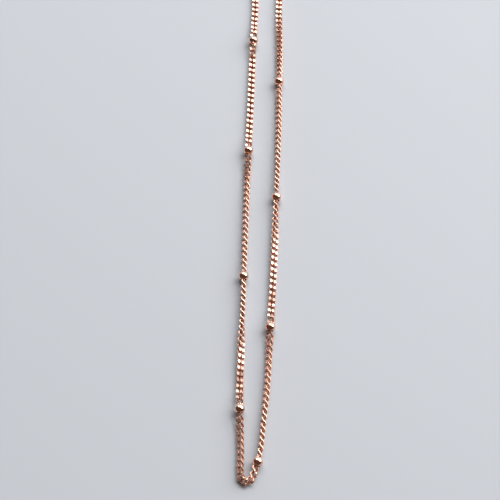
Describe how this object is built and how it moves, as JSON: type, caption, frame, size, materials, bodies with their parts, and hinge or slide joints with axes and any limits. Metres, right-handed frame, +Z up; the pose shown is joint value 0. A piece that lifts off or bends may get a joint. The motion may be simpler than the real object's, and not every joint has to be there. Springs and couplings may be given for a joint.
{
  "type": "beaded chain necklace",
  "caption": "Fine flat curb chain with small round drilled beads at even spaces, closed into one loop by a ring clasp, lying flat.",
  "frame": {"origin": "on the flat surface that the necklace lies on, below the middle of the loop's bounding box", "axes": "+Y from the tip of the loop to the clasp, +X to the right as seen from the tip, +Z up from the surface"},
  "size_m": [0.0647, 0.2036, 0.0025],
  "materials": {
    "chain": "rose gold plate, links with polished flat faces",
    "beads": "rose gold plate, mirror polished",
    "clasp": "rose gold plate, polished"
  },
  "bodies": {
    "root": {"chain_left": "chain", "chain_right": "chain", "bead_01": "beads", "bead_02": "beads", "bead_03": "beads", "bead_04": "beads", "bead_05": "beads", "bead_06": "beads", "bead_07": "beads", "bead_08": "beads", "bead_09": "beads", "bead_10": "beads", "bead_11": "beads", "bead_12": "beads", "bead_13": "beads", "bead_14": "beads", "bead_15": "beads", "ring_left": "clasp", "ring_right": "clasp", "clasp": "clasp"}
  },
  "joints": []
}
